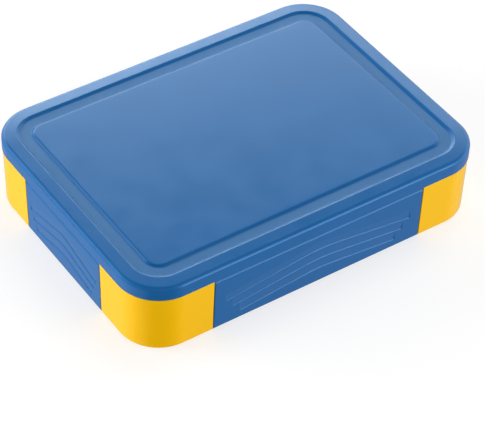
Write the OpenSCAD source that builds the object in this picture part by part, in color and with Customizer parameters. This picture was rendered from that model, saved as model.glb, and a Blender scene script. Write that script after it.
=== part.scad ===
// Bento lunch box: a blue lid with four hinged locking flaps, a yellow base with exposed corners,
// and a lift-out food tray. Millimetres, +Z up. The origin is on the table under the middle of the
// box, X runs along the box and the front faces -Y. An "inset" is a distance in from the lid's outline.

/* [Box] */
// Length of the lid along X
box_length = 240; // [232:1:248]
// Width of the lid along Y
box_width = 177; // [172:1:184]
// Height from the table to the top of the lid
box_height = 49; // [46:0.5:54]
// Corner radius of the lid, seen from above
corner_r = 27; // [27:0.5:30]

/* [Lid] */
// Thickness of the lid's top and rim
lid_wall = 2; // [1.8:0.1:2.2]
// Height of the lid's rim above the flaps and corners
rim_height = 9.6; // [9.2:0.1:10]
// Radius that rounds the top of the rim
rim_round = 2.6; // [2:0.1:3]
// Width of the raised land round the lid
land_width = 9.5; // [9.4:0.1:10]
// Width of the recessed band inside the land
band_width = 9.8; // [9:0.1:10.2]
// Depth of the recessed band
band_depth = 1.2; // [0.8:0.1:1.3]

/* [Flaps] */
// Length of each exposed base corner, measured along a side
corner_span = 47; // [44:1:50]
// Thickness of a flap's plate
flap_wall = 2.2; // [2:0.1:2.4]
// Outer radius of the hinge barrel along a flap's top
barrel_r = 2.6; // [2.5:0.05:2.7]
// Radius of the steel hinge pins
pin_r = 0.8; // [0.7:0.05:0.9]
// Depth of the chevron ledges on the outside of a flap
ledge_depth = 0.4; // [0.3:0.1:1]

/* [Base] */
// Thickness of the base's upright wall
base_wall = 1.7; // [1.4:0.1:1.8]
// Thickness of the base's floor
base_floor = 1.8; // [1.4:0.1:2.2]
// How far the corners lean in from top to bottom
base_draft = 0.7; // [0.3:0.1:1]
// Height of the feet below the base
foot_height = 0.6; // [0.5:0.1:1]
// Radius of a foot
foot_r = 6; // [4:0.5:8]

/* [Tray] */
// Thickness of the tray's walls
tray_wall = 1.5; // [1.3:0.1:1.6]
// Width of the cutlery slot along the front
slot_width = 36; // [36:0.5:38]
// Length of the main compartment
main_length = 139; // [130:1:145]
// Height of the cutlery slot's floor above the table
slot_floor_z = 24.9; // [22:0.1:26]
// Radius along the floor of each compartment
floor_round = 4; // [3:0.5:5]

/* [Hidden] */
$fn = 64;

lid_blue = [0.24, 0.44, 0.66];
base_yellow = [0.98, 0.78, 0.15];
tray_white = [0.93, 0.93, 0.90];
plate_white = [0.88, 0.91, 0.93];
seal_grey = [0.80, 0.82, 0.84];
steel = [0.72, 0.73, 0.75];

gap = 0.1;                                  // play between faces that rest on each other
cut = 1;                                    // how far a cutting shape runs past what it cuts
plan = [box_length, box_width];

// Lid
rim_z = box_height - rim_height;            // lower edge of the rim
top_under_z = box_height - lid_wall;        // underside of the land and of the centre panel
band_under_z = top_under_z - band_depth;    // underside of the recessed band
band_in = land_width + band_width;          // inset of the centre panel's edge
band_slope = 1.6;                           // how far each side of the band leans
step_back = 0.4;                            // how far the underside's steps stand off the top's steps

// Flap hinges
barrel_in = 0.3;                            // inset of the barrel's outermost line
axis_in = barrel_in + barrel_r;
axis_z = rim_z - 0.35 - barrel_r;
pin_play = 0.06;
ear_width = 6;
ear_play = 0.3;
ear_r = 1.7;
ear_play_r = ear_r + 0.2;
rail_in = axis_in + barrel_r + 0.3;         // inset of the rail that carries the ears
rail_wall = 1.4;
rail_drop = 2.4;                            // how far the rail reaches below the hinge axis

// Flap plates
flap_gap = 0.45;                            // play between a flap and the corners beside it
flap_z = foot_height + 0.3;                 // lower edge of a flap
face_in = barrel_in + 0.05;                 // inset of the plate's face at the hinge axis
face_lean = (base_draft + 0.05) / (axis_z - flap_z);
bead_z = 12;
bead_r = 1.15;
catch_height = 1.5;
catch_root = 3.5;                           // how far the catch spreads down the base's wall
ledge_rows = 3;
ledge_ramp = 5.5;                           // height over which the face ramps in to a ledge

// Base
post_in = 0.4;                              // inset of a corner's face at its top
post_z = rim_z - 0.3;                       // top of the corners
post_wall = 1.8;
wall_in = rail_in + rail_wall + 0.3;        // inset of the base wall's outer face
base_in = wall_in + base_wall;              // inset of the base wall's inner face
lip_in = face_in + base_draft + flap_wall + 0.5;
base_top_z = foot_height + base_floor;
foot_inset = 30;
foot_pocket = 0.6;                          // depth of a foot's pocket in the base

// Tray
tray_in = base_in + 0.3;                    // inset of the tray's outer face
cell_in = tray_in + tray_wall;              // inset of the compartments
cell_r = corner_r - cell_in;                // upright corner radius of every compartment
rim_top_z = top_under_z - 2.4;              // top of the tray
rim_wall = 1.1;
collar_z = rim_top_z - rim_wall - gap;      // top of the base's wall
cell_z = base_top_z + gap + tray_wall;      // floor of the deep compartments
cells_x = box_length / 2 - cell_in;         // half length of the room inside the tray
cells_y = box_width / 2 - cell_in;          // half width of the room inside the tray
slot_back = slot_width - cells_y;           // back edge of the cutlery slot
deep_front = slot_back + tray_wall;
deep_width = cells_y - deep_front;
main_end = main_length - cells_x;           // right edge of the main compartment
side_start = main_end + tray_wall;
side_width = (deep_width - tray_wall) / 2;

// Gaskets
seal_in = rail_in + rail_wall + 0.2;
seal_out = land_width - step_back - gap;
strip_width = 2.5;
plate_in = band_in + step_back + 0.2;       // inset of the inner plate's edge

// Divider
divider_x = main_length / 2 - cells_x;
divider_wall = 1.5;
guide_depth = 1.2;
guide_width = 1.5;
divider_play = 0.4;

// Cutlery
rest_places = [-60, 0, 60];                 // along X, ribs on the slot's floor that carry the cutlery
rest_height = 1.2;
rest_width = 2;
cutlery_z = slot_floor_z + rest_height + gap;
cutlery_wall = 1.8;
handle_width = 8;
cutlery_length = 120;
fork_y = -cells_y + 13;
spoon_y = fork_y + 9.5;
tip_x = cells_x - 11;                       // how far from the middle each tip lies
head_length = 40;
fork_width = 20;
spoon_width = 24;

long_half = box_length / 2 - corner_span;
short_half = box_width / 2 - corner_span;
long_ears = [-46, 0, 46];
short_ears = [-22, 22];

// Each side: its turn about Z, the box's size across it, half its flap's opening, its ears' places
FRONT = [0, box_width, long_half, long_ears];
BACK = [180, box_width, long_half, long_ears];
LEFT = [-90, box_length, short_half, short_ears];
RIGHT = [90, box_length, short_half, short_ears];

// Each compartment: its lowest and highest corner in plan and the height of its floor
CELLS = [
    [[-cells_x, -cells_y], [cells_x, slot_back], slot_floor_z],
    [[-cells_x, deep_front], [main_end, cells_y], cell_z],
    [[side_start, deep_front], [cells_x, deep_front + side_width], cell_z],
    [[side_start, cells_y - side_width], [cells_x, cells_y], cell_z]
];

function face_at(z) = face_in + (axis_z - z) * face_lean;
function peak_z(row) = 27.4 - 7.7 * row;
function end_z(row) = 19.3 - 6.35 * row;
function reach(row) = 0.89 - 0.07 * row;    // half length of a ledge as a share of half the flap

// Sweeps a profile round a rounded rectangle. The profile's x is counted out from the corner's centre.
module sweep(size, r) {
    for (turn = [0:3]) {
        out = (turn % 2 == 0 ? size[0] : size[1]) / 2 - r;
        run = (turn % 2 == 0 ? size[1] : size[0]) - 2 * r;
        rotate(90 * turn) translate([out, 0, 0]) {
            rotate([90, 0, 0]) linear_extrude(run, center = true) children();
            translate([0, run / 2, 0]) rotate_extrude(angle = 90) children();
        }
    }
}

// A profile for the box's own outline, given as [inset, height] points.
module inset_profile(points) {
    polygon([for (p = points) [corner_r - p[0], p[1]]]);
}

// A ring that follows the box's outline.
module ring(from, to, z0, z1) {
    sweep(plan, corner_r) inset_profile([[from, z0], [from, z1], [to, z1], [to, z0]]);
}

// A flat slab that follows the box's outline at an inset.
module slab(inset, z0, z1) {
    r = corner_r - inset;
    size = [box_length - 2 * inset, box_width - 2 * inset];
    translate([0, 0, z0]) linear_extrude(z1 - z0) {
        square([size[0] - 2 * r, size[1]], center = true);
        square([size[0], size[1] - 2 * r], center = true);
        for (sx = [-1, 1], sy = [-1, 1])
            translate([sx * (size[0] / 2 - r), sy * (size[1] / 2 - r)]) circle(r);
    }
}

// A solid with rounded upright edges and a rounded lower edge.
module tub(size, r, height, edge_r) {
    sweep(size, r) {
        square([r - edge_r, height]);
        translate([0, edge_r]) square([r, height - edge_r]);
        translate([r - edge_r, edge_r]) circle(edge_r);
    }
    linear_extrude(height) square([size[0] - 2 * r, size[1] - 2 * r], center = true);
}

// One compartment's hollow, or its outer shape when grown by a wall.
module cell(c, grow, top_z) {
    low = c[0];
    high = c[1];
    size = [high[0] - low[0] + 2 * grow, high[1] - low[1] + 2 * grow];
    translate([(low[0] + high[0]) / 2, (low[1] + high[1]) / 2, c[2] - grow])
        tub(size, cell_r + grow, top_z - c[2] + grow, floor_round + grow);
}

// Places a shape on a side: x runs along the side and y is the inset.
module on_side(side) {
    rotate(side[0]) translate([0, -side[1] / 2, 0]) children();
}

// Extrudes an [inset, height] profile along a side.
module along(length) {
    rotate([90, 0, 90]) linear_extrude(length, center = true) children();
}

module hinge_rail(side) {
    translate([0, 0, axis_z - rail_drop])
        translate([ear_width / 2 - side[2], rail_in, 0])
            cube([2 * side[2] - ear_width, rail_wall, top_under_z + lid_wall / 2 - axis_z + rail_drop]);
    for (x = side[3]) translate([x, 0, 0]) along(ear_width) {
        translate([axis_in, axis_z]) circle(ear_r);
        polygon([[axis_in, axis_z - 0.25], [rail_in + rail_wall / 2, axis_z - 0.25],
                 [rail_in + rail_wall / 2, axis_z - rail_drop], [axis_in + 0.8, axis_z - 1.5]]);
    }
}

module hinge_bore(side, r) {
    translate([0, axis_in, axis_z]) rotate([0, 90, 0]) cylinder(2 * side[2], r, r, center = true);
}

module rounding(r) {
    difference() {
        square(r + cut);
        circle(r);
    }
}

module lid_shell() {
    color(lid_blue) difference() {
        union() {
            sweep(plan, corner_r) difference() {
                inset_profile([[0, rim_z], [0, box_height], [land_width, box_height],
                               [land_width + band_slope, box_height - band_depth],
                               [band_in - band_slope, box_height - band_depth], [band_in, box_height],
                               [corner_r, box_height], [corner_r, top_under_z],
                               [band_in + step_back, top_under_z], [band_in + step_back, band_under_z],
                               [land_width - step_back, band_under_z], [land_width - step_back, top_under_z],
                               [lid_wall, top_under_z], [lid_wall, rim_z]]);
                translate([corner_r - rim_round, box_height - rim_round]) rounding(rim_round);
            }
            translate([0, 0, top_under_z]) linear_extrude(lid_wall)
                square([box_length - 2 * corner_r, box_width - 2 * corner_r], center = true);
            for (side = [FRONT, BACK, LEFT, RIGHT]) on_side(side) hinge_rail(side);
        }
        for (side = [FRONT, BACK, LEFT, RIGHT]) on_side(side) hinge_bore(side, pin_r);
    }
}

module inner_lid_plate() {
    color(plate_white) slab(plate_in, band_under_z, top_under_z);
}

module perimeter_gasket() {
    color(seal_grey) ring(seal_in, seal_out, rim_top_z + gap, top_under_z);
}

// Sealing strips over the tray's inner walls.
module divider_gasket() {
    strip_z = rim_top_z + gap;
    height = band_under_z - strip_z;
    plate_x = box_length / 2 - plate_in - cut;
    plate_y = box_width / 2 - plate_in - cut;
    wall_x = main_end + tray_wall / 2;
    wall_y = slot_back + tray_wall / 2;
    cross_y = deep_front + side_width + tray_wall / 2;
    color(seal_grey) translate([0, 0, strip_z]) {
        translate([-plate_x, wall_y - strip_width / 2, 0]) cube([2 * plate_x, strip_width, height]);
        translate([wall_x - strip_width / 2, wall_y, 0]) cube([strip_width, plate_y - wall_y, height]);
        translate([wall_x, cross_y - strip_width / 2, 0]) cube([plate_x - wall_x, strip_width, height]);
    }
}

// Room that a lid ear needs inside a flap's barrel while the flap swings.
module ear_space() {
    translate([axis_in, axis_z]) circle(ear_play_r);
    translate([axis_in, axis_z - barrel_r - cut]) square([barrel_r + cut, 2 * (barrel_r + cut)]);
}

// Half of one chevron: the face ramps in going down, then steps out at the ledge.
module half_ledge(row, half) {
    run = reach(row) * half;
    drop = peak_z(row) - end_z(row);
    length = norm([run, drop]) + cut;
    face = face_at((peak_z(row) + end_z(row)) / 2);
    translate([0, 0, peak_z(row)]) rotate([0, atan2(drop, run), 0])
        translate([length / 2 - cut, 0, 0]) along(length)
            polygon([[face - cut, 0], [face + ledge_depth, 0],
                     [face - cut, ledge_ramp * (cut + ledge_depth) / ledge_depth]]);
}

module flap(side) {
    half = side[2] - flap_gap;
    inner = face_at(bead_z) + flap_wall;
    color(lid_blue) on_side(side) difference() {
        union() {
            along(2 * half) {
                translate([axis_in, axis_z]) circle(barrel_r);
                polygon([[face_at(axis_z), axis_z], [face_at(flap_z), flap_z],
                         [face_at(flap_z) + flap_wall, flap_z], [face_at(axis_z) + flap_wall, axis_z]]);
            }
            along(half) translate([inner, bead_z]) circle(bead_r);
        }
        hinge_bore(side, pin_r + pin_play);
        for (x = side[3]) translate([x, 0, 0]) along(ear_width + 2 * ear_play) ear_space();
        for (row = [0:ledge_rows - 1], way = [0, 1]) mirror([way, 0, 0]) half_ledge(row, half);
    }
}

module hinge_pin(side) {
    length = 2 * (side[2] - flap_gap - pin_r);
    color(steel) on_side(side) translate([0, axis_in, axis_z])
        rotate([0, 90, 0]) cylinder(length, pin_r, pin_r, center = true);
}

// The four corner regions outside the flaps, made smaller by a wall.
module corners(wall) {
    size = [corner_span - wall + cut, corner_span - wall + cut, box_height];
    for (sx = [0, 1], sy = [0, 1]) mirror([sx, 0, 0]) mirror([0, sy, 0])
        translate([long_half + wall, short_half + wall, 0]) cube(size);
}

// Catch that a flap's bead snaps under.
module catch(side) {
    tip = face_at(bead_z) + flap_wall + bead_r + gap;
    low = bead_z + bead_r;
    root = wall_in + base_wall / 2;
    along(side[2]) polygon([[root, low - catch_root], [tip, low], [tip, low + catch_height],
                            [root, low + catch_height]]);
}

module base_shell() {
    inner_post = post_in + post_wall;
    color(base_yellow) difference() {
        union() {
            ring(wall_in, base_in, foot_height, collar_z);
            slab(wall_in + base_wall / 2, foot_height, base_top_z);
            difference() {
                intersection() {
                    sweep(plan, corner_r)
                        inset_profile([[post_in, post_z], [post_in + base_draft, foot_height],
                                       [wall_in + base_wall / 2, foot_height],
                                       [wall_in + base_wall / 2, post_z]]);
                    corners(0);
                }
                intersection() {
                    sweep(plan, corner_r)
                        inset_profile([[inner_post, post_z - post_wall],
                                       [inner_post + base_draft, foot_height - cut],
                                       [wall_in, foot_height - cut], [wall_in, post_z - post_wall]]);
                    translate([0, 0, -cut]) corners(post_wall);
                }
            }
            for (side = [FRONT, BACK, LEFT, RIGHT]) on_side(side) {
                translate([-side[2] - post_wall / 2, lip_in, foot_height])
                    cube([2 * side[2] + post_wall, wall_in + base_wall / 2 - lip_in, base_floor]);
                catch(side);
            }
        }
        feet(foot_r + pin_play, foot_height - cut, foot_height + foot_pocket);
    }
}

module feet(r, z0, z1) {
    for (sx = [-1, 1], sy = [-1, 1])
        translate([sx * (box_length / 2 - foot_inset), sy * (box_width / 2 - foot_inset), z0])
            cylinder(z1 - z0, r, r);
}

module base_feet() {
    color(seal_grey) feet(foot_r, 0, foot_height + foot_pocket);
}

module food_tray() {
    color(tray_white) {
        difference() {
            union() {
                slab(wall_in + 0.2, rim_top_z - rim_wall, rim_top_z);
                for (c = CELLS) cell(c, tray_wall, rim_top_z - rim_wall / 2);
            }
            for (c = CELLS) cell(c, 0, rim_top_z + cut);
        }
        intersection() {
            cell(CELLS[1], tray_wall / 2, rim_top_z);
            divider_guides();
        }
        cutlery_rests();
    }
}

// Low ribs across the cutlery slot's floor.
module cutlery_rests() {
    length = slot_width - 2 * floor_round - rest_width;
    height = tray_wall / 2 + rest_height;
    for (x = rest_places)
        translate([x, slot_back - slot_width / 2, slot_floor_z + rest_height - height / 2])
            cube([rest_width, length, height], center = true);
}

// Two pairs of ribs that hold the divider upright.
module divider_guides() {
    offset_x = divider_wall / 2 + gap + guide_width / 2;
    height = rim_top_z - 5 - cell_z;
    for (way = [-1, 1], y = [deep_front, cells_y])
        translate([divider_x + way * offset_x, y, cell_z - tray_wall / 2 + height / 2])
            cube([guide_width, 2 * guide_depth, height], center = true);
}

module tray_divider() {
    half = deep_width / 2 - divider_play;
    low_z = cell_z + divider_play;
    high_z = rim_top_z - divider_play;
    edge_r = floor_round + 1;
    color(tray_white) translate([divider_x, deep_front + deep_width / 2, 0]) rotate([90, 0, 90])
        linear_extrude(divider_wall, center = true) {
            translate([-half, low_z + edge_r]) square([2 * half, high_z - low_z - edge_r]);
            translate([edge_r - half, low_z]) square([2 * (half - edge_r), high_z - low_z]);
            for (way = [-1, 1]) translate([way * (half - edge_r), low_z + edge_r]) circle(edge_r);
        }
}

// Flat handle with round ends, from x = 0 along -X.
module handle(length) {
    translate([-length, -handle_width / 2]) square([length, handle_width]);
    translate([-length, 0]) circle(handle_width / 2);
}

module fork() {
    tine = fork_width / 7;
    root = head_length / 2;
    color(steel) translate([-tip_x, fork_y, cutlery_z]) mirror([1, 0, 0]) linear_extrude(cutlery_wall) {
        translate([-head_length, 0]) handle(cutlery_length - head_length);
        translate([-root, 0]) circle(fork_width / 2);
        translate([-head_length, -handle_width / 2]) square([root, handle_width]);
        for (i = [-3, -1, 1, 3]) translate([-root, i * tine - tine / 2]) square([root, tine]);
    }
}

module spoon() {
    bowl_r = spoon_width / 2;
    dish_r = 1.6 * bowl_r;
    bowl_depth = 4;
    color(steel) translate([tip_x - bowl_r, spoon_y, cutlery_z]) {
        difference() {
            union() {
                cylinder(bowl_depth, bowl_r, bowl_r);
                linear_extrude(cutlery_wall) translate([-bowl_r / 2, 0]) handle(cutlery_length - 2 * bowl_r);
            }
            translate([0, 0, dish_r + cutlery_wall / 2]) sphere(dish_r);
        }
    }
}

lid_shell();
inner_lid_plate();
perimeter_gasket();
divider_gasket();
flap(FRONT);  // front_flap
flap(BACK);  // back_flap
flap(LEFT);  // left_flap
flap(RIGHT);  // right_flap
hinge_pin(FRONT);  // front_hinge_pin
hinge_pin(BACK);  // back_hinge_pin
hinge_pin(LEFT);  // left_hinge_pin
hinge_pin(RIGHT);  // right_hinge_pin
base_shell();
base_feet();
food_tray();
tray_divider();
fork();
spoon();
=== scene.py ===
import math

import bmesh
import bpy
import numpy as np
from mathutils import Matrix, Vector


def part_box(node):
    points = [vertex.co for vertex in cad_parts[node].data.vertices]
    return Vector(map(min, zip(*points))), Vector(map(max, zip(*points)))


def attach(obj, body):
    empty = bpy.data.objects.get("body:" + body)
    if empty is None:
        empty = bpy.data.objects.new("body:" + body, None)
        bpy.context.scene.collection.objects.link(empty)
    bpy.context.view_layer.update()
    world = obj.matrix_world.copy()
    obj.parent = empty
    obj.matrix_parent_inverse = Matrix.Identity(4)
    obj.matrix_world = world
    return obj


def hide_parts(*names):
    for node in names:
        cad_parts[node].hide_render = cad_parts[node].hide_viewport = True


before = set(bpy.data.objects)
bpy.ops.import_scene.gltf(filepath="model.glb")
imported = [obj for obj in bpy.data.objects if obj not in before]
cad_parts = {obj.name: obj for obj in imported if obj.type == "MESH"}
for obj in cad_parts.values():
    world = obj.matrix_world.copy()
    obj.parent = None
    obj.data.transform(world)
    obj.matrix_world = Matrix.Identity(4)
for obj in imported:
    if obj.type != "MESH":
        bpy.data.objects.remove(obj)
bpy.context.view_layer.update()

# Shapes are drawn in millimetres, in the frame's own axes, and become metres in Shape.build().
# An "inset" is a distance in from the lid's outline, as in the CAD model.
MM = 0.001


# ---------------------------------------------------------------- sizes, from the frame
def box_mm(node):
    low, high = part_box(node)
    return low / MM, high / MM


lid_low, lid_high = box_mm("lid_shell")
plate_low, plate_high = box_mm("inner_lid_plate")
seal_low, seal_high = box_mm("perimeter_gasket")
strip_low, strip_high = box_mm("divider_gasket")
base_low, base_high = box_mm("base_shell")
feet_low, feet_high = box_mm("base_feet")
tray_low, tray_high = box_mm("food_tray")
divider_low, divider_high = box_mm("tray_divider")
fork_low, fork_high = box_mm("fork")
spoon_low, spoon_high = box_mm("spoon")
flap_low, flap_high = box_mm("front_flap")
side_flap_low, side_flap_high = box_mm("left_flap")
pin_low, pin_high = box_mm("front_hinge_pin")
side_pin_low, side_pin_high = box_mm("left_hinge_pin")

LENGTH = lid_high.x - lid_low.x
WIDTH = lid_high.y - lid_low.y
TOP = lid_high.z
CORNER = 27.0                      # corner radius of the lid in plan
GROUND = feet_low.z

# Lid
RIM_Z = TOP - 9.6
RIM_ROUND = 2.6
LID_WALL = 2.0
LAND = 9.5                         # inset of the recessed band's outer edge
BAND_IN = 19.3                     # inset of its inner edge
PANEL_IN = 24                      # inset at which the sweeps stop and the middle is one flat face
BAND_DEPTH = 1.2
BAND_SLOPE = 1.6
BAND_EDGE = 1.6                    # rounding of the band's slopes, top and bottom
STEP_BACK = 0.4                    # how far the underside's steps stand off the top's
LAND_FALL = 0.3                    # how far the land leans down to the rim

# Hinges
AXIS_Z = (pin_low.z + pin_high.z) / 2
AXIS_IN = (pin_low.y + pin_high.y) / 2 - lid_low.y
BARREL = flap_high.z - AXIS_Z
PIN_R = (pin_high.z - pin_low.z) / 2
EAR_R = 1.7
EAR_WIDTH = 6.0
EAR_SPACE = EAR_WIDTH + 0.6
EAR_SPACE_R = 1.9
RAIL_IN = 5.8
RAIL_WALL = 1.4
RAIL_Z = lid_low.z
RAIL_SHORT = 2.5                   # how much shorter a rail is than its flap, at each end
LONG_EARS = (-46.0, 0.0, 46.0)
SHORT_EARS = (-22.0, 22.0)

# Flaps
FLAP_Z = flap_low.z
FLAP_WALL = 2.2
FACE_IN = 0.35
FACE_LEAN = 0.75 / (AXIS_Z - FLAP_Z)    # how much the face leans in, for each millimetre down
EDGE_ROUND = 0.3                   # rounding of a flap's upright edges
LONG_HALF = (flap_high.x - flap_low.x) / 2
SHORT_HALF = (side_flap_high.y - side_flap_low.y) / 2
BEAD_Z = 12.0
BEAD_R = 1.15
LEDGE_DEPTH = 0.4
LEDGE_LOW = -0.75                  # where a ledge's soft step starts and ends, over its line
LEDGE_HIGH = 0.35
LEDGE_RAMP = 5.5                   # height over which the face comes back out above a ledge

# Base
BASE_Z = base_low.z
COLLAR_Z = base_high.z
POST_Z = RIM_Z - 0.3
POST_IN = 0.4
POST_DRAFT = 0.7                   # how much a corner leans in over its height
POST_WALL = 1.8
POST_PLAY = 0.15                   # extra play beside a flap's end
WALL_IN = 7.5
BASE_IN = 9.2
FLOOR_Z = BASE_Z + 1.8
LIP_IN = 3.75
CORNER_SPAN = 47.0                 # from the box's end to a flap's, along a side
FOOT_R = 6.0
FOOT_INSET = 30.0

# Tray
TRAY_TOP = tray_high.z
TRAY_WALL = 1.5
CELL_IN = 11.0
CELL_R = CORNER - CELL_IN
FLOOR_ROUND = 4.0
CELLS_X = LENGTH / 2 - CELL_IN
CELLS_Y = WIDTH / 2 - CELL_IN
SLOT_WIDTH = 36.0
MAIN_LENGTH = 139.0
SLOT_BACK = SLOT_WIDTH - CELLS_Y
DEEP_FRONT = SLOT_BACK + TRAY_WALL
MAIN_END = MAIN_LENGTH - CELLS_X
SIDE_START = MAIN_END + TRAY_WALL
SIDE_DEPTH = (CELLS_Y - DEEP_FRONT - TRAY_WALL) / 2
DEEP_Z = tray_low.z + TRAY_WALL
SLOT_Z = 24.9
RIM_WALL = 1.1

# Each side: its turn about Z in degrees, the box's size across it, half its flap's length, and its ears
SIDES = {
    "front": (0, WIDTH, LONG_HALF, LONG_EARS),
    "back": (180, WIDTH, LONG_HALF, LONG_EARS),
    "left": (-90, LENGTH, SHORT_HALF, SHORT_EARS),
    "right": (90, LENGTH, SHORT_HALF, SHORT_EARS),
}


def side_matrix(side):
    """Places a shape on a side: x runs along the side and y is the inset."""
    turn, across, _half, _ears = SIDES[side]
    return Matrix.Rotation(math.radians(turn), 4, "Z") @ Matrix.Translation((0, -across / 2, 0))


# ---------------------------------------------------------------- mesh making
class Shape:
    """Collects closed shells and makes them one object."""

    def __init__(self):
        self.points = []
        self.faces = []
        self.slots = []

    def add(self, points, faces, slot=0, matrix=None):
        start = len(self.points)
        for p in points:
            p = Vector(p)
            self.points.append(matrix @ p if matrix else p)
        self.faces += [[start + i for i in f] for f in faces]
        self.slots += [slot] * len(faces) if isinstance(slot, int) else list(slot)

    def build(self, name, body, node, materials, smooth_angle=35):
        mesh = bpy.data.meshes.new(name)
        mesh.from_pydata([p * MM for p in self.points], [], self.faces)
        for material in materials:
            mesh.materials.append(material)
        mesh.polygons.foreach_set("material_index", self.slots)
        work = bmesh.new()
        work.from_mesh(mesh)
        bmesh.ops.remove_doubles(work, verts=work.verts, dist=1e-7)
        bmesh.ops.dissolve_degenerate(work, edges=work.edges, dist=1e-7)
        bmesh.ops.recalc_face_normals(work, faces=work.faces)
        work.to_mesh(mesh)
        work.free()
        mesh.shade_smooth()
        mesh.set_sharp_from_angle(angle=math.radians(smooth_angle))
        piece = bpy.data.objects.new(name, mesh)
        bpy.context.scene.collection.objects.link(piece)
        weighted = piece.modifiers.new("weighted_normals", "WEIGHTED_NORMAL")
        weighted.keep_sharp = True
        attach(piece, body)
        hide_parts(node)
        return piece


def soften(corners, closed=True, step=15):
    """Rounds the corners of a profile. Each corner is (x, y) or (x, y, radius)."""
    out = []
    count = len(corners)
    for i, corner in enumerate(corners):
        here = Vector(corner[:2])
        radius = corner[2] if len(corner) > 2 else 0
        at_end = not closed and i in (0, count - 1)
        if radius <= 0 or at_end:
            out.append(tuple(here))
            continue
        to_last = (Vector(corners[i - 1][:2]) - here).normalized()
        to_next = (Vector(corners[(i + 1) % count][:2]) - here).normalized()
        half = to_last.angle(to_next) / 2
        turn = math.pi - 2 * half
        centre = here + (to_last + to_next).normalized() * radius / math.sin(half)
        first = here + to_last * radius / math.tan(half) - centre
        way = 1 if to_last.x * to_next.y - to_last.y * to_next.x < 0 else -1
        steps = max(2, math.ceil(math.degrees(turn) / step))
        for k in range(steps + 1):
            arm = Matrix.Rotation(way * turn * k / steps, 2) @ first
            out.append(tuple(centre + arm))
    return out


def circle(x, y, radius, start=0, end=360, step=15):
    steps = max(2, round(abs(end - start) / step))
    last = steps if abs(end - start) < 360 else steps - 1
    angles = [math.radians(start + (end - start) * k / steps) for k in range(last + 1)]
    return [(x + radius * math.cos(a), y + radius * math.sin(a)) for a in angles]


def rounded_path(size_x, size_y, radius, steps=20):
    """Points and outward normals round a rounded rectangle, anticlockwise."""
    path = []
    for quarter in range(4):
        sx = 1 if quarter in (0, 3) else -1
        sy = 1 if quarter in (0, 1) else -1
        cx = sx * (size_x / 2 - radius)
        cy = sy * (size_y / 2 - radius)
        for k in range(steps + 1):
            a = math.radians(90 * (quarter + k / steps))
            normal = Vector((math.cos(a), math.sin(a)))
            path.append((Vector((cx, cy)) + normal * radius, normal))
    return path


ARC_STEPS = 24
OUTLINE = rounded_path(LENGTH, WIDTH, CORNER, ARC_STEPS)


def grid_faces(rows, columns, wrap_rows, wrap_columns):
    faces = []
    for i in range(rows if wrap_rows else rows - 1):
        for j in range(columns if wrap_columns else columns - 1):
            a = i * columns + j
            b = i * columns + (j + 1) % columns
            c = (i + 1) % rows * columns + (j + 1) % columns
            d = (i + 1) % rows * columns + j
            faces.append([a, b, c, d])
    return faces


def sweep(shape, path, profile, closed_path=True, closed_profile=True, slot=0, matrix=None,
          slot_of=None):
    """Sweeps an (inset, height) profile along a path. Open ends are closed with flat caps."""
    points = []
    for place, normal in path:
        for inset, height in profile:
            spot = place - normal * inset
            points.append((spot.x, spot.y, height))
    rows, columns = len(path), len(profile)
    faces = grid_faces(rows, columns, closed_path, closed_profile)
    slots = [slot] * len(faces)
    if slot_of:
        per_row = columns if closed_profile else columns - 1
        slots = [slot_of(profile[k % per_row]) for k in range(len(faces))]
    if not closed_profile:
        faces += [[i * columns for i in range(rows)], [i * columns + columns - 1 for i in range(rows)]]
        slots += [slot, slot]
    if not closed_path:
        last = (rows - 1) * columns
        faces += [list(range(columns)), [last + j for j in range(columns)]]
        slots += [slot, slot]
    shape.add(points, faces, slots, matrix)


def prism(shape, profile, start, end, slot=0, matrix=None, edge=0.25):
    """A bar along x with an (inset, height) profile and slightly rounded ends."""
    middle = Vector((sum(p[0] for p in profile), sum(p[1] for p in profile))) / len(profile)
    points = []
    for x, shrink in ((start, edge), (start + edge, 0), (end - edge, 0), (end, edge)):
        for p in profile:
            arm = Vector(p) - middle
            arm = arm * max(0, 1 - shrink / max(arm.length, edge))
            points.append((x, middle.x + arm.x, middle.y + arm.y))
    columns = len(profile)
    faces = grid_faces(4, columns, False, True)
    faces += [list(range(columns)), list(range(3 * columns, 4 * columns))]
    shape.add(points, faces, slot, matrix)


def lathe(shape, profile, matrix, steps=40, slot=0):
    """Turns a (radius, height) profile round z. It starts and ends on the axis."""
    points = []
    for k in range(steps):
        a = 2 * math.pi * k / steps
        points += [(r * math.cos(a), r * math.sin(a), z) for r, z in profile]
    shape.add(points, grid_faces(steps, len(profile), True, False), slot, matrix)


def ring_loop(cx, cy, size_x, size_y, radius, steps=12):
    return [(cx + p.x, cy + p.y) for p, _normal in rounded_path(size_x, size_y, radius, steps)]


def slab(shape, loops, z0, z1, edge, slot=0, matrix=None):
    """A flat plate with rounded edges. The first loop is its outline and the others are holes."""
    curve = bpy.data.curves.new("slab", "CURVE")
    curve.dimensions = "2D"
    curve.fill_mode = "BOTH"
    curve.extrude = (z1 - z0) / 2 - edge
    curve.bevel_depth = edge
    curve.bevel_resolution = 3
    curve.offset = -edge
    for loop in loops:
        spline = curve.splines.new("POLY")
        spline.points.add(len(loop) - 1)
        for point, (x, y) in zip(spline.points, loop):
            point.co = (x, y, 0, 1)
        spline.use_cyclic_u = True
    holder = bpy.data.objects.new("slab", curve)
    bpy.context.scene.collection.objects.link(holder)
    bpy.context.view_layer.update()
    mesh = bpy.data.meshes.new_from_object(holder.evaluated_get(bpy.context.evaluated_depsgraph_get()))
    points = [v.co + Vector((0, 0, (z0 + z1) / 2)) for v in mesh.vertices]
    faces = [list(f.vertices) for f in mesh.polygons]
    shape.add(points, faces, slot, matrix)
    bpy.data.objects.remove(holder)
    bpy.data.curves.remove(curve)
    bpy.data.meshes.remove(mesh)


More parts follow.
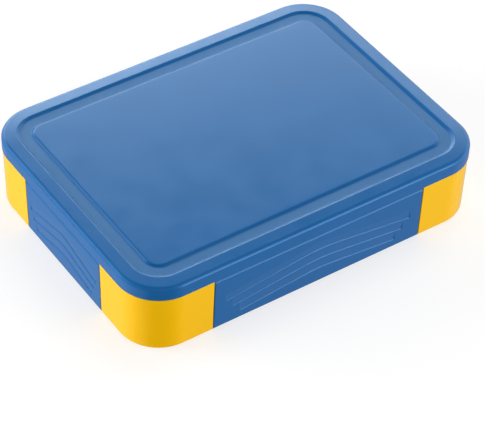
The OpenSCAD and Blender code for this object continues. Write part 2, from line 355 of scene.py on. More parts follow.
# ---------------------------------------------------------------- materials
def srgb(red, green, blue):
    """A screen colour, 0 to 255 a channel, as a linear one."""
    def linear(channel):
        return ((channel / 255 + 0.055) / 1.055) ** 2.4 if channel > 10 else channel / 255 / 12.92

    return (linear(red), linear(green), linear(blue), 1)


WAVE_HEIGHT = 0.00004               # metres, of a moulded face's slow waviness


class Finish:
    """A procedural material around one Principled shader."""

    def __init__(self, name, **sockets):
        self.material = bpy.data.materials.new(name)
        self.material.use_nodes = True
        self.tree = self.material.node_tree
        self.shader = self.tree.nodes["Principled BSDF"]
        self.place = self.node("ShaderNodeTexCoord").outputs["Object"]
        for socket, value in sockets.items():
            self.shader.inputs[socket.replace("_", " ")].default_value = value

    def node(self, kind, **settings):
        made = self.tree.nodes.new(kind)
        for key, value in settings.items():
            setattr(made, key, value)
        return made

    def link(self, out, into):
        self.tree.links.new(out, into)

    def noise(self, scale, detail=2, stretch=(1, 1, 1), roughness=0.5):
        """Noise with features about 1 / scale metres across."""
        stretched = self.node("ShaderNodeVectorMath", operation="MULTIPLY")
        stretched.inputs[1].default_value = stretch
        self.link(self.place, stretched.inputs[0])
        noise = self.node("ShaderNodeTexNoise")
        noise.inputs["Scale"].default_value = scale
        noise.inputs["Detail"].default_value = detail
        noise.inputs["Roughness"].default_value = roughness
        self.link(stretched.outputs["Vector"], noise.inputs["Vector"])
        return noise.outputs["Fac"]

    def spread(self, value, low, high, from_low=0.3, from_high=0.7):
        ramp = self.node("ShaderNodeMapRange")
        ramp.inputs["From Min"].default_value = from_low
        ramp.inputs["From Max"].default_value = from_high
        ramp.inputs["To Min"].default_value = low
        ramp.inputs["To Max"].default_value = high
        self.link(value, ramp.inputs["Value"])
        return ramp.outputs["Result"]

    def colours(self, value, first, second):
        mix = self.node("ShaderNodeMix", data_type="RGBA")
        mix.inputs["A"].default_value = first
        mix.inputs["B"].default_value = second
        self.link(value, mix.inputs["Factor"])
        self.link(mix.outputs["Result"], self.shader.inputs["Base Color"])

    def rough(self, value):
        self.link(value, self.shader.inputs["Roughness"])

    def bump(self, value, height, strength=1.0):
        bump = self.node("ShaderNodeBump")
        bump.inputs["Strength"].default_value = strength
        bump.inputs["Distance"].default_value = height
        self.link(value, bump.inputs["Height"])
        last = self.shader.inputs["Normal"]
        if last.is_linked:
            self.link(last.links[0].from_socket, bump.inputs["Normal"])
        self.link(bump.outputs["Normal"], last)


def moulded(name, colours, gloss, grain, **sockets):
    """Injection-moulded plastic: flow mottle between two colours, polished and worn patches between two
    roughnesses, a fine grain of a scale and height, and a faint waviness."""
    finish = Finish(name, **sockets)
    grain_scale, grain_height = grain
    finish.colours(finish.spread(finish.noise(14, 3), 0, 1), *colours)
    finish.rough(finish.spread(finish.noise(55, 4, roughness=0.6), *gloss))
    finish.bump(finish.noise(grain_scale, 2), grain_height)
    finish.bump(finish.noise(9, 1), WAVE_HEIGHT)
    return finish.material


def metal(name, colour, rough_low, rough_high, stretch):
    finish = Finish(name, Metallic=1.0)
    finish.colours(finish.spread(finish.noise(60, 3), 0, 1), colour, srgb(196, 198, 201))
    finish.rough(finish.spread(finish.noise(500, 4, stretch), rough_low, rough_high))
    finish.bump(finish.noise(900, 3, stretch), 0.000008)
    return finish.material


BLUE_SHINE = {"Specular_Tint": (0.7, 0.87, 1.0, 1.0)}
YELLOW_SHINE = {"Specular_Tint": (1.0, 0.85, 0.2, 1.0)}
BLUES = (srgb(14, 91, 153), srgb(18, 94, 157))
lid_blue = moulded("lid_blue_plastic", BLUES, (0.17, 0.24), (2600, 0.000004), **BLUE_SHINE)
band_blue = moulded("lid_band_grain", (srgb(34, 96, 149), srgb(38, 99, 153)), (0.38, 0.46), (1500, 0.00002),
                    **BLUE_SHINE)
flap_blue = moulded("flap_blue_plastic", BLUES, (0.2, 0.27), (2600, 0.000004), **BLUE_SHINE)
base_yellow = moulded("base_yellow_plastic", (srgb(241, 184, 1), srgb(244, 188, 2)), (0.14, 0.2),
                      (2400, 0.000003), **YELLOW_SHINE)
tray_white = moulded("tray_white_plastic", (srgb(216, 217, 213), srgb(221, 222, 218)), (0.28, 0.4),
                     (1800, 0.000008), Subsurface_Weight=0.15, Subsurface_Scale=0.002)
plate_white = moulded("plate_milky_plastic", (srgb(196, 207, 215), srgb(203, 213, 220)), (0.27, 0.31),
                      (1500, 0.000008), Subsurface_Weight=0.3, Subsurface_Scale=0.002)
seal_grey = moulded("seal_silicone", (srgb(203, 209, 214), srgb(211, 216, 220)), (0.5, 0.62),
                    (1400, 0.00002), Subsurface_Weight=0.3, Subsurface_Scale=0.0015)
foot_grey = moulded("foot_silicone", (srgb(198, 203, 207), srgb(206, 210, 213)), (0.55, 0.66),
                    (1200, 0.00003))
pin_steel = metal("pin_steel", srgb(186, 188, 192), 0.22, 0.34, (0.02, 1, 1))
cutlery_steel = metal("cutlery_steel", srgb(205, 206, 208), 0.12, 0.24, (0.03, 1, 1))


# ---------------------------------------------------------------- lid
def lid_profile():
    fall = TOP - LAND_FALL
    low = TOP - BAND_DEPTH
    under = TOP - LID_WALL
    return soften([
        (PANEL_IN, TOP), (BAND_IN, TOP, BAND_EDGE), (BAND_IN - BAND_SLOPE, low, BAND_EDGE),
        (LAND + BAND_SLOPE, low, BAND_EDGE), (LAND, TOP, BAND_EDGE), (0, fall, RIM_ROUND),
        (0, RIM_Z, 0.4), (LID_WALL, RIM_Z, 0.4), (LID_WALL, under, 1),
        (LAND - STEP_BACK, under, 0.3), (LAND - STEP_BACK, under - BAND_DEPTH, 0.3),
        (BAND_IN + STEP_BACK, under - BAND_DEPTH, 0.3), (BAND_IN + STEP_BACK, under, 0.3),
        (PANEL_IN, under)], closed=False, step=7.5)


def in_band(point):
    """Material slot of a lid profile's point: 1 on the band's floor, 0 elsewhere."""
    inset, height = point
    over_floor = height - (TOP - BAND_DEPTH)
    return int(LAND + BAND_SLOPE < inset < BAND_IN and -0.01 < over_floor < 0.3)


def make_lid():
    shape = Shape()
    sweep(shape, OUTLINE, lid_profile(), closed_profile=False, slot_of=in_band)
    ear = soften([(AXIS_IN, AXIS_Z - 0.25), (RAIL_IN + 0.7, AXIS_Z - 0.25, 0.2),
                  (RAIL_IN + 0.7, RAIL_Z + 0.1, 0.2), (AXIS_IN + 0.8, AXIS_Z - 1.5)])
    rail = soften([(RAIL_IN, RAIL_Z, 0.4), (RAIL_IN + RAIL_WALL, RAIL_Z, 0.4),
                   (RAIL_IN + RAIL_WALL, TOP - 1), (RAIL_IN, TOP - 1)])
    for side, (_turn, _across, half, ears) in SIDES.items():
        matrix = side_matrix(side)
        prism(shape, rail, RAIL_SHORT - half, half - RAIL_SHORT, 0, matrix)
        for x in ears:
            ends = (x - EAR_WIDTH / 2, x + EAR_WIDTH / 2)
            prism(shape, circle(AXIS_IN, AXIS_Z, EAR_R), *ends, 0, matrix)
            prism(shape, ear, ends[0] + 0.05, ends[1] - 0.05, 0, matrix)
    piece = shape.build("lid_shell_piece", "lid", "lid_shell", [lid_blue, band_blue])


def make_inner_plate():
    shape = Shape()
    size = plate_high - plate_low
    outline = ring_loop(0, 0, size.x, size.y, CORNER - (LENGTH - size.x) / 2)
    slab(shape, [outline], plate_low.z, plate_high.z, 0.3)
    piece = shape.build("inner_plate_piece", "lid", "inner_lid_plate", [plate_white])


def make_seal():
    shape = Shape()
    inner = seal_low.x - lid_low.x
    outer = 9.0
    low, high = seal_low.z, seal_high.z
    lip = soften([(inner, high, 0.2), (inner, low + 0.9, 0.3), (inner + 0.3, low, 0.3),
                  (inner + 0.65, low, 0.25), (inner + 0.8, low + 0.8, 0.15), (outer - 0.65, low, 0.25),
                  (outer - 0.3, low, 0.3), (outer, low + 0.9, 0.3), (outer, high, 0.2)])
    sweep(shape, OUTLINE, lip)
    piece = shape.build("lid_seal_piece", "lid", "perimeter_gasket", [seal_grey])


def make_wall_seals():
    shape = Shape()
    half = 1.25
    wall_x = MAIN_END + TRAY_WALL / 2
    wall_y = SLOT_BACK + TRAY_WALL / 2
    cross_y = DEEP_FRONT + SIDE_DEPTH + TRAY_WALL / 2
    low, high = strip_low.z, strip_high.z
    bead = soften([(-half, high), (-half, low + 0.4, 0.2), (-half + 0.5, low, 0.3),
                   (half - 0.5, low, 0.3), (half, low + 0.4, 0.2), (half, high)])
    for start, end, centre, turn in ((strip_low.x, strip_high.x, (0, wall_y), 0),
                                     (wall_y, strip_high.y, (wall_x, 0), 90),
                                     (wall_x, strip_high.x, (0, cross_y), 0)):
        matrix = Matrix.Translation((*centre, 0)) @ Matrix.Rotation(math.radians(turn), 4, "Z")
        prism(shape, bead, start, end, 0, matrix)
    piece = shape.build("wall_seals_piece", "lid", "divider_gasket", [seal_grey])


def make_pins():
    along_x = Matrix.Rotation(math.radians(90), 4, "Y")
    for side in SIDES:
        low, high = box_mm(side + "_hinge_pin")
        end = max(high.x - low.x, high.y - low.y) / 2
        shape = Shape()
        profile = soften([(0, -end), (PIN_R, -end, 0.3), (PIN_R, end, 0.3), (0, end)], closed=False)
        lathe(shape, profile, side_matrix(side) @ Matrix.Translation((0, AXIS_IN, AXIS_Z)) @ along_x, 24)
        piece = shape.build(side + "_pin_piece", "lid", side + "_hinge_pin", [pin_steel])


# ---------------------------------------------------------------- flaps
LEDGES = ((12.0, 6.6, 0.75), (19.7, 12.95, 0.82), (27.4, 19.3, 0.89))   # peak, end height, share of half
ENDS_AT = 0.86                     # where the ledges end, as a share of the columns
PEAK_SOFT = 0.1                    # how wide the peaks are rounded, as a share of a ledge
OUTER_SIDE = 1.5                   # insets below this belong to a flap's outer face


def face_at(height):
    return FACE_IN + (AXIS_Z - height) * FACE_LEAN


def ledge_height(row, share):
    """Height of a ledge's line, at a share of its half length from the middle."""
    peak, end, _reach = LEDGES[row]
    share = min(abs(share), 1)
    bend = (math.hypot(share, PEAK_SOFT) - PEAK_SOFT) / (math.hypot(1, PEAK_SOFT) - PEAK_SOFT)
    return peak - (peak - end) * bend


def face_lines():
    """Lines up a flap's face: (row, height over the ledge's line, that height past its ends, depth)."""
    lines = []
    for row in range(len(LEDGES)):
        for t in np.linspace(0, 1, 10):
            over = LEDGE_LOW + (LEDGE_HIGH - LEDGE_LOW) * t
            lines.append((row, over, over, LEDGE_DEPTH * t * t * (3 - 2 * t)))
        for share in (0.12, 0.5, 0.85):
            height = share * LEDGE_RAMP
            lines.append((row, height, height, LEDGE_DEPTH * (1 - share)))
        lines.append((row, LEDGE_RAMP, LEDGE_RAMP, 0.01))
    return lines


def flap_columns(half):
    """Places across a flap, from -1 to 1, closer together where the ledges end and peak."""
    wall = 0.2 / half
    inner = list(np.linspace(0, ENDS_AT - 0.6 / half, 34)) + [ENDS_AT - 2 * wall, ENDS_AT - wall]
    outer = [ENDS_AT + wall, ENDS_AT + 2 * wall] + list(np.linspace(ENDS_AT + 1 / half, 1 - 0.5 / half, 6))
    edge = [1 - 0.25 / half, 1 - 0.08 / half, 1]
    right = inner + outer + edge
    return [-c for c in reversed(right[1:])] + right


def flap_shell(half):
    """A flap's plate and rounded top, as one closed shell with chevron ledges in its face."""
    foot = FLAP_Z
    inside = face_at(foot) + FLAP_WALL
    lower = soften([(AXIS_IN - 0.35, AXIS_Z - BARREL - 0.2, 0.2), (inside, foot, 0.6),
                    (face_at(foot), foot, 0.9), (face_at(foot + 2), foot + 2)], closed=False)
    upper = circle(AXIS_IN, AXIS_Z, BARREL - 0.05, 180, 94, 8)
    inner = circle(AXIS_IN, AXIS_Z, EAR_SPACE_R, 94, 268, 12)
    plain_low = lower[:-1]
    plain_high = (upper + [(AXIS_IN - 0.06, AXIS_Z + 2.3)] + inner
                  + [(AXIS_IN - 0.04, AXIS_Z - BARREL + 0.1)])
    lines = face_lines()
    columns = flap_columns(half)
    points = []
    for column in columns:
        share = column / ENDS_AT
        inside_ends = abs(column) < ENDS_AT
        edge_in = max(0, abs(column) * half - (half - EDGE_ROUND))
        back = EDGE_ROUND - math.sqrt(max(0, EDGE_ROUND ** 2 - edge_in * edge_in)) if edge_in else 0
        x_plain = column * half
        for inset, height in plain_low:
            outer_face = inset < OUTER_SIDE
            inner_face = not outer_face and height < AXIS_Z - 2
            points.append((x_plain, inset + (back if outer_face else -back if inner_face else 0), height))
        for row, over, past, depth in lines:
            end_x = LEDGES[row][2] * half
            if inside_ends:
                x = share * end_x
                height = ledge_height(row, share) + over
            else:
                x = math.copysign(end_x + (abs(column) - ENDS_AT) / (1 - ENDS_AT) * (half - end_x), column)
                height = ledge_height(row, 1) + past
            points.append((x, face_at(height) + (depth if inside_ends else 0) + back, height))
        points += [(x_plain, p[0] + (back if p[0] < OUTER_SIDE else 0), p[1]) for p in plain_high]
    width = len(plain_low) + len(lines) + len(plain_high)
    faces = grid_faces(len(columns), width, False, True)
    faces += [list(range(width)), [(len(columns) - 1) * width + j for j in range(width)]]
    return points, faces


def knuckle(shape, start, end, matrix):
    """A length of hinge barrel with a bore for the pin, and bevelled ends."""
    bevel = 0.25
    ring = ((start, BARREL - 0.4, PIN_R + 0.25), (start + bevel, BARREL - 0.12, PIN_R + 0.06),
            (end - bevel, BARREL - 0.12, PIN_R + 0.06), (end, BARREL - 0.4, PIN_R + 0.25))
    loop = [(x, outer) for x, outer, _bore in ring] + [(x, bore) for x, _outer, bore in reversed(ring)]
    steps = 36
    points = []
    for k in range(steps):
        a = 2 * math.pi * k / steps
        points += [(x, AXIS_IN + r * math.cos(a), AXIS_Z + r * math.sin(a)) for x, r in loop]
    shape.add(points, grid_faces(steps, len(loop), True, True), 0, matrix)


def make_flap(side):
    _turn, _across, half, ears = SIDES[side]
    matrix = side_matrix(side)
    shape = Shape()
    points, faces = flap_shell(half)
    shape.add(points, faces, 0, matrix)
    stops = [-half + 0.1]
    for x in ears:
        stops += [x - EAR_SPACE / 2, x + EAR_SPACE / 2]
    stops.append(half - 0.1)
    for start, end in zip(stops[::2], stops[1::2]):
        knuckle(shape, start, end, matrix)
    inner = face_at(BEAD_Z) + FLAP_WALL
    prism(shape, circle(inner - 0.02, BEAD_Z, BEAD_R), -half / 2, half / 2, 0, matrix, edge=0.5)
    body = side + "_flap"
    piece = shape.build(side + "_flap_piece", body, body, [flap_blue])


# ---------------------------------------------------------------- base
POST_STRAIGHT = CORNER_SPAN - CORNER - POST_PLAY


def corner_ends(quarter):
    """A corner's arc in the lid's outline, and its two ends: place, outward normal and the way on."""
    arc = OUTLINE[quarter * (ARC_STEPS + 1):(quarter + 1) * (ARC_STEPS + 1)]
    (first, normal_1), (last, normal_2) = arc[0], arc[-1]
    return arc, ((first, normal_1, Vector((normal_1.y, -normal_1.x))),
                 (last, normal_2, Vector((-normal_2.y, normal_2.x))))


def corner_path(quarter):
    """The lid's outline round one corner, from one flap's end to the next one's."""
    arc, ((first, normal_1, way_1), (last, normal_2, way_2)) = corner_ends(quarter)
    before = [(first + way_1 * (POST_STRAIGHT - d), normal_1) for d in (0, 0.12, 0.4)]
    after = [(last + way_2 * (POST_STRAIGHT - d), normal_2) for d in (0.4, 0.12, 0)]
    return before + arc + after


def corner_stubs(quarter, reach):
    """Short paths that end a corner's two straights, for the webs that close its hollow."""
    _arc, ends = corner_ends(quarter)
    return [[(place + way * (POST_STRAIGHT - d), normal) for d in (0.05, reach)]
            for place, normal, way in ends]


def make_base():
    shape = Shape()
    tub = soften([(PANEL_IN, FLOOR_Z), (BASE_IN, FLOOR_Z, 3), (BASE_IN, COLLAR_Z, 0.5),
                  (WALL_IN, COLLAR_Z, 0.5), (WALL_IN, BASE_Z, 0.6), (PANEL_IN, BASE_Z)], closed=False)
    sweep(shape, OUTLINE, tub, closed_profile=False)
    foot_in = POST_IN + POST_DRAFT
    hidden = WALL_IN + 0.8
    post = soften([(foot_in, BASE_Z, 1.2), (POST_IN, POST_Z, 0.5), (hidden, POST_Z),
                   (hidden, POST_Z - POST_WALL), (POST_IN + POST_WALL, POST_Z - POST_WALL, 1),
                   (foot_in + POST_WALL, BASE_Z, 0.4)])
    web = soften([(foot_in + 0.5, BASE_Z + 0.2, 0.5), (POST_IN + 0.5, POST_Z - 0.5, 0.5),
                  (hidden, POST_Z - 0.5), (hidden, BASE_Z + 0.2)])
    for quarter in range(4):
        sweep(shape, corner_path(quarter), post, closed_path=False)
        for stub in corner_stubs(quarter, POST_WALL):
            sweep(shape, stub, web, closed_path=False)
    lip = soften([(LIP_IN, BASE_Z + 0.05, 0.4), (hidden, BASE_Z + 0.05), (hidden, FLOOR_Z - 0.1),
                  (LIP_IN, FLOOR_Z - 0.1, 0.5)])
    tip = face_at(BEAD_Z) + FLAP_WALL + BEAD_R + 0.1
    low = BEAD_Z + BEAD_R
    hook = soften([(hidden, low - 3.5), (hidden, low + 1.5), (tip, low + 1.5, 0.4), (tip, low, 0.25)])
    for side in SIDES:
        _turn, _across, half, _ears = SIDES[side]
        matrix = side_matrix(side)
        prism(shape, lip, -half - 1, half + 1, 0, matrix)
        prism(shape, hook, -half / 2, half / 2, 0, matrix, edge=0.4)
    piece = shape.build("base_shell_piece", "base", "base_shell", [base_yellow])


def make_feet():
    shape = Shape()
    top = feet_high.z
    pad = soften([(0, GROUND), (FOOT_R - 0.1, GROUND, 0.3), (FOOT_R, top, 0.1), (0, top)], closed=False)
    for sx in (-1, 1):
        for sy in (-1, 1):
            place = Matrix.Translation((sx * (LENGTH / 2 - FOOT_INSET), sy * (WIDTH / 2 - FOOT_INSET), 0))
            lathe(shape, pad, place)
    piece = shape.build("feet_piece", "base", "base_feet", [foot_grey])


# ---------------------------------------------------------------- tray
# Each compartment: its ends in x and y, and its floor
CELLS = (
    (-CELLS_X, -CELLS_Y, CELLS_X, SLOT_BACK, SLOT_Z),
    (-CELLS_X, DEEP_FRONT, MAIN_END, CELLS_Y, DEEP_Z),
    (SIDE_START, DEEP_FRONT, CELLS_X, DEEP_FRONT + SIDE_DEPTH, DEEP_Z),
    (SIDE_START, CELLS_Y - SIDE_DEPTH, CELLS_X, CELLS_Y, DEEP_Z),
)


def make_tray():
    shape = Shape()
    inset = (LENGTH - (tray_high.x - tray_low.x)) / 2
    loops = [ring_loop(0, 0, LENGTH - 2 * inset, WIDTH - 2 * inset, CORNER - inset, 24)]
    shared = TRAY_WALL - 0.2       # a compartment's outer skin stops short of its neighbour's hollow
    for x0, y0, x1, y1, floor in CELLS:
        cx, cy = (x0 + x1) / 2, (y0 + y1) / 2
        size_x, size_y = x1 - x0, y1 - y0
        loops.append(ring_loop(cx, cy, size_x, size_y, CELL_R, 16))
        high = TRAY_TOP - 0.35
        profile = soften([(CELL_R - 2, floor), (0, floor, FLOOR_ROUND), (0, high), (-shared, high),
                          (-shared, floor - TRAY_WALL, FLOOR_ROUND + shared),
                          (CELL_R - 2, floor - TRAY_WALL)], closed=False)
        sweep(shape, rounded_path(size_x, size_y, CELL_R, 16), profile, closed_profile=False,
              matrix=Matrix.Translation((cx, cy, 0)))
    slab(shape, loops, TRAY_TOP - RIM_WALL, TRAY_TOP, 0.3)
    divider_x = (divider_low.x + divider_high.x) / 2
    wall = (divider_high.x - divider_low.x) / 2
    for way in (-1, 1):
        for y0, y1 in ((DEEP_FRONT - 0.5, DEEP_FRONT + 1.2), (CELLS_Y - 1.2, CELLS_Y + 0.5)):
            x = divider_x + way * (wall + 0.85)
            rib = soften([(y0, DEEP_Z + 1.5), (y1, DEEP_Z + 1.5, 0.3), (y1, TRAY_TOP - 5, 0.6),
                          (y0, TRAY_TOP - 5)])
            prism(shape, rib, x - 0.75, x + 0.75)
    for x in (-60, 0, 60):
        y = SLOT_BACK - SLOT_WIDTH / 2
        rest = soften([(y - 13, SLOT_Z - 0.5), (y + 13, SLOT_Z - 0.5),
                       (y + 13, SLOT_Z + 1.2, 0.6), (y - 13, SLOT_Z + 1.2, 0.6)])
        prism(shape, rest, x - 1, x + 1)
    piece = shape.build("food_tray_piece", "tray", "food_tray", [tray_white])


def make_divider():
    shape = Shape()
    y0, y1 = divider_low.y, divider_high.y
    z0, z1 = divider_low.z, divider_high.z
    outline = soften([(y0, z0, 5), (y1, z0, 5), (y1, z1, 1), (y0, z1, 1)], step=9)
    stand = Matrix(((0, 0, 1, 0), (1, 0, 0, 0), (0, 1, 0, 0), (0, 0, 0, 1)))
    slab(shape, [outline], divider_low.x, divider_high.x, 0.35, 0, stand)
    piece = shape.build("tray_divider_piece", "divider", "tray_divider", [tray_white])


# ---------------------------------------------------------------- cutlery
def blend_steps(value, stops):
    """Smooth value between (place, value) stops."""
    places = [s[0] for s in stops]
    values = [s[1] for s in stops]
    i = max(0, min(len(stops) - 2, int(np.searchsorted(places, value)) - 1))
    t = (value - places[i]) / (places[i + 1] - places[i])
    t = max(0, min(1, t))
    t = t * t * (3 - 2 * t)
    return values[i] + (values[i + 1] - values[i]) * t


def blade(shape, length, width_of, lift_of, dish_of, thick, matrix, rows=60, columns=14):
    """A bar along x with a width, lift and dish that change along it, and round edges."""
    points = []
    for i in range(rows + 1):
        x = length * (1 - math.cos(math.pi * i / rows)) / 2
        half = max(width_of(x) / 2, 0.05)
        for j in range(columns):
            a = 2 * math.pi * j / columns
            across = math.copysign(abs(math.cos(a)) ** 0.6, math.cos(a))
            up = math.copysign(abs(math.sin(a)) ** 0.6, math.sin(a))
            sag = dish_of(x) * (across * across - 1)
            points.append((x, across * half, lift_of(x) + sag + up * thick(x) / 2))
    faces = grid_faces(rows + 1, columns, False, True)
    faces += [list(range(columns)), [rows * columns + j for j in range(columns)]]
    shape.add(points, faces, 0, matrix)


def round_end(x, length, radius):
    """Share of full width near a rounded end."""
    near = min(x, length - x)
    return math.sqrt(max(0, 1 - (1 - min(near / radius, 1)) ** 2))


def make_spoon():
    shape = Shape()
    length = spoon_high.x - spoon_low.x
    bowl = 38.0
    width = spoon_high.y - spoon_low.y

    def width_of(x):
        if x < bowl:
            t = x / bowl
            neck = 5.0 if x > bowl / 2 else 0
            return max(width * math.sin(math.pi * min(1, t ** 0.8 * 0.94)) ** 0.62, neck)
        return blend_steps(x, ((bowl, 5.0), (bowl + 12, 5.0), (length, 8.5))) * round_end(x, length, 4)

    def lift_of(x):
        return blend_steps(x, ((0, 2.6), (bowl * 0.5, 2.3), (bowl, 3.0), (bowl + 22, 1.5), (length, 1.2)))

    def dish_of(x):
        return 1.7 * math.sin(math.pi * min(1, x / bowl)) ** 0.8 if x < bowl else 0

    def thick(x):
        return blend_steps(x, ((0, 0.8), (bowl, 1.3), (length, 1.6)))

    end = Matrix.Translation((spoon_high.x, (spoon_low.y + spoon_high.y) / 2, spoon_low.z))
    turn = end @ Matrix.Rotation(math.pi, 4, "Z")
    blade(shape, length, width_of, lift_of, dish_of, thick, turn, 90, 24)
    piece = shape.build("spoon_piece", "spoon", "spoon", [cutlery_steel], 60)


def make_fork():
    shape = Shape()
    length = fork_high.x - fork_low.x
    head = 40.0
    tines = 22.0
    width = fork_high.y - fork_low.y

    def body_width(x):
        full = blend_steps(x + tines, ((tines, width), (tines + 6, width), (head + 4, 5.2),
                                       (head + 14, 5.0), (length, 8.5)))
        return full * (round_end(x + tines, length, 4) if x > 30 else 1)

    def lift_of(x):
        return blend_steps(x, ((0, 1.2), (tines, 0.9), (head, 1.1), (head + 20, 0.9), (length, 0.9)))

    place = Matrix.Translation((fork_low.x, (fork_low.y + fork_high.y) / 2, fork_low.z))
    shifted = place @ Matrix.Translation((tines, 0, 0))
    blade(shape, length - tines, body_width, lambda x: lift_of(x + tines), lambda x: 0,
          lambda x: 1.5, shifted, 70, 20)
    for i in range(4):
        y = (i - 1.5) * (width - 3) / 3
        blade(shape, tines + 3, lambda x: 3.0 * min(1, 0.35 + x / 9), lift_of, lambda x: 0,
              lambda x: min(1.4, 0.7 + x / 10), place @ Matrix.Translation((0, y, 0)), 30, 12)
    piece = shape.build("fork_piece", "fork", "fork", [cutlery_steel], 60)


# ---------------------------------------------------------------- camera, light and floor
CAMERA_PLACE = Vector((-0.5588, -0.7953, 0.8896))
CAMERA_AIM = Vector((-0.0160, -0.0317, 0.0208))
CAMERA_ROLL = -2.18                # degrees
CAMERA_LENS = 161.6
SENSOR = 36.0
# Each lamp: compass angle and height in degrees, distance, size in metres, and watts
LAMPS = {
    "left_softbox": (145, 10, 2.4, (1.8, 1.2), 71),
    "right_softbox": (317, 10, 4.8, (3.6, 1.8), 136),
    "top_softbox": (20, 65, 1.6, (1.0, 1.0), 7.5),
}


def make_camera():
    data = bpy.data.cameras.new("camera")
    data.sensor_fit = "HORIZONTAL"
    data.sensor_width = SENSOR
    data.lens = CAMERA_LENS
    camera = bpy.data.objects.new("camera", data)
    camera.location = CAMERA_PLACE
    look = (CAMERA_AIM - CAMERA_PLACE).to_track_quat("-Z", "Y").to_matrix().to_4x4()
    roll = Matrix.Rotation(math.radians(-CAMERA_ROLL), 4, "Z")
    camera.matrix_world = Matrix.Translation(CAMERA_PLACE) @ look @ roll
    bpy.context.scene.collection.objects.link(camera)
    bpy.context.scene.camera = camera


def softbox(name, azimuth, elevation, distance, size, power):
    """A rectangular light at a compass angle round the box (0 is +X, 90 is +Y), facing its middle."""
    a, e = math.radians(azimuth), math.radians(elevation)
    place = Vector((math.cos(a) * math.cos(e), math.sin(a) * math.cos(e), math.sin(e))) * distance
    data = bpy.data.lights.new(name, "AREA")
    data.shape = "RECTANGLE"
    data.size, data.size_y = size
    data.energy = power
    light = bpy.data.objects.new(name, data)
    light.location = place
    light.rotation_euler = (-place).to_track_quat("-Z", "Y").to_euler()
    light.visible_glossy = False       # make_world() holds what a gloss reflects
    bpy.context.scene.collection.objects.link(light)


FILL = 0.43                        # even light from all round
BRIGHTEST = 9.0                    # scale of the levels below, which a ramp holds as 0 to 1
# What a gloss reflects: a tint, brightness round the compass, and how much of it shows by height
LOW_SKY = (
    (1, 1, 1),
    ((0, 0.42), (100, 0.46), (122, 0.48), (141, 0.66), (160, 0.66), (182, 0.5), (203, 0.34), (214, 0.08),
     (221, 0.0), (274, 0.0), (284, 0.12), (300, 0.26), (312, 0.48), (330, 0.55), (360, 0.42)),
    ((-90, 1.0), (-16, 1.0), (-4, 0.0), (90, 0.0)),
)
FRONT_SKY = (
    (0.62, 0.8, 1),
    ((0, 0.8), (30, 0.1), (60, 0.0), (262, 0.0), (281, 0.5), (286, 2.0), (291, 6.4), (300, 6.4), (309, 2.6),
     (320, 1.8), (335, 1.6), (360, 0.8)),
    ((-90, 0.0), (-28, 0.0), (-15, 0.25), (-2, 1.0), (9, 0.9), (20, 0.42), (28, 0.36), (40, 0.32), (50, 0.14),
     (60, 0.1), (72, 0.05), (90, 0.03)),
)
BACK_SKY = (
    (0.8, 0.91, 1),
    ((0, 2.4), (40, 4.4), (51, 5.4), (60, 8.7), (72, 8.8), (85, 6.2), (105, 3.4), (125, 2.5), (145, 2.2),
     (175, 1.1), (205, 0.4), (217, 0.4), (232, 0.8), (272, 0.8), (300, 0.5), (330, 1.2), (360, 2.4)),
    ((-90, 0.0), (-14, 0.0), (0, 0.42), (17, 0.44), (25, 0.52), (33, 1.0), (36, 0.97), (39, 0.42),
     (42, 0.085), (47, 0.11), (90, 0.06)),
)


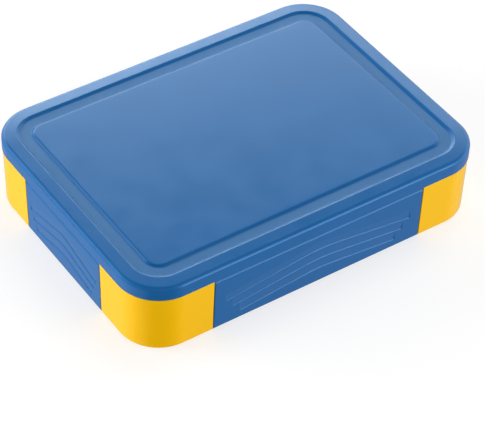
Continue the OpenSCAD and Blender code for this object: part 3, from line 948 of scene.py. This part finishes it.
def make_world():
    """Even fill for matt surfaces, and tinted skies that only a gloss reflects."""
    world = bpy.data.worlds.new("studio")
    bpy.context.scene.world = world
    world.use_nodes = True
    tree = world.node_tree
    tree.nodes.clear()

    def node(kind, **settings):
        made = tree.nodes.new(kind)
        for key, value in settings.items():
            setattr(made, key, value)
        return made

    def math_node(operation, *values, kind="ShaderNodeMath"):
        made = node(kind, operation=operation)
        for socket, value in zip(made.inputs, values):
            if isinstance(value, (int, float, tuple)):
                socket.default_value = value
            else:
                tree.links.new(value, socket)
        return made.outputs[0]

    def vector_node(operation, *values):
        return math_node(operation, *values, kind="ShaderNodeVectorMath")

    def ramp(value, stops):
        made = node("ShaderNodeValToRGB")
        made.color_ramp.interpolation = "EASE"
        elements = made.color_ramp.elements
        while len(elements) < len(stops):
            elements.new(1.0)
        for element, (place, level) in zip(elements, stops):
            element.position = place
            element.color = (level, level, level, 1)
        tree.links.new(value, made.inputs["Fac"])
        return made.outputs["Color"]

    direction = node("ShaderNodeTexCoord").outputs["Generated"]
    parts = node("ShaderNodeSeparateXYZ")
    tree.links.new(direction, parts.inputs[0])
    angle = math_node("ARCTAN2", parts.outputs["Y"], parts.outputs["X"])
    turn = math_node("FRACT", math_node("ADD", math_node("DIVIDE", angle, 2 * math.pi), 1.0))
    climb = math_node("DIVIDE", math_node("ARCSINE", parts.outputs["Z"]), math.pi)
    height = math_node("ADD", climb, 0.5)
    total = None
    for tint, around, upward in (LOW_SKY, FRONT_SKY, BACK_SKY):
        by_turn = ramp(turn, [(a / 360, level / BRIGHTEST) for a, level in around])
        by_height = ramp(height, [((e + 90) / 180, share) for e, share in upward])
        layer = vector_node("MULTIPLY", vector_node("MULTIPLY", by_turn, by_height), tint)
        total = vector_node("ADD", total, layer) if total else layer
    reflected = node("ShaderNodeBackground")
    tree.links.new(total, reflected.inputs["Color"])
    reflected.inputs["Strength"].default_value = BRIGHTEST
    even = node("ShaderNodeBackground")
    even.inputs["Color"].default_value = (1, 1, 1, 1)
    even.inputs["Strength"].default_value = FILL
    glossy = node("ShaderNodeLightPath").outputs["Is Glossy Ray"]
    mix = node("ShaderNodeMixShader")
    tree.links.new(glossy, mix.inputs["Fac"])
    tree.links.new(even.outputs[0], mix.inputs[1])
    tree.links.new(reflected.outputs[0], mix.inputs[2])
    tree.links.new(mix.outputs[0], node("ShaderNodeOutputWorld").inputs["Surface"])


def make_floor():
    """A white table that glows a little, so that shadows on it stay faint."""
    finish = Finish("floor_white", Roughness=0.9, Specular_IOR_Level=0.0, Emission_Color=(1, 1, 1, 1),
                    Emission_Strength=0.68)
    finish.colours(finish.spread(finish.noise(3, 2), 0, 1), (0.36, 0.36, 0.36, 1), (0.38, 0.38, 0.38, 1))
    half = 40.0
    corners = [(-half, -half, 0), (half, -half, 0), (half, half, 0), (-half, half, 0)]
    mesh = bpy.data.meshes.new("floor")
    mesh.from_pydata(corners, [], [(0, 1, 2, 3)])
    mesh.materials.append(finish.material)
    floor = bpy.data.objects.new("floor", mesh)
    floor.visible_glossy = False
    bpy.context.scene.collection.objects.link(floor)


def main():
    make_camera()
    make_lid()
    make_inner_plate()
    make_seal()
    make_wall_seals()
    make_pins()
    for side in SIDES:
        make_flap(side)
    make_base()
    make_feet()
    make_tray()
    make_divider()
    make_spoon()
    make_fork()
    make_floor()
    make_world()
    for name, lamp in LAMPS.items():
        softbox(name, *lamp)
    view = bpy.context.scene.view_settings
    view.view_transform = "Standard"
    view.look = "None"


main()
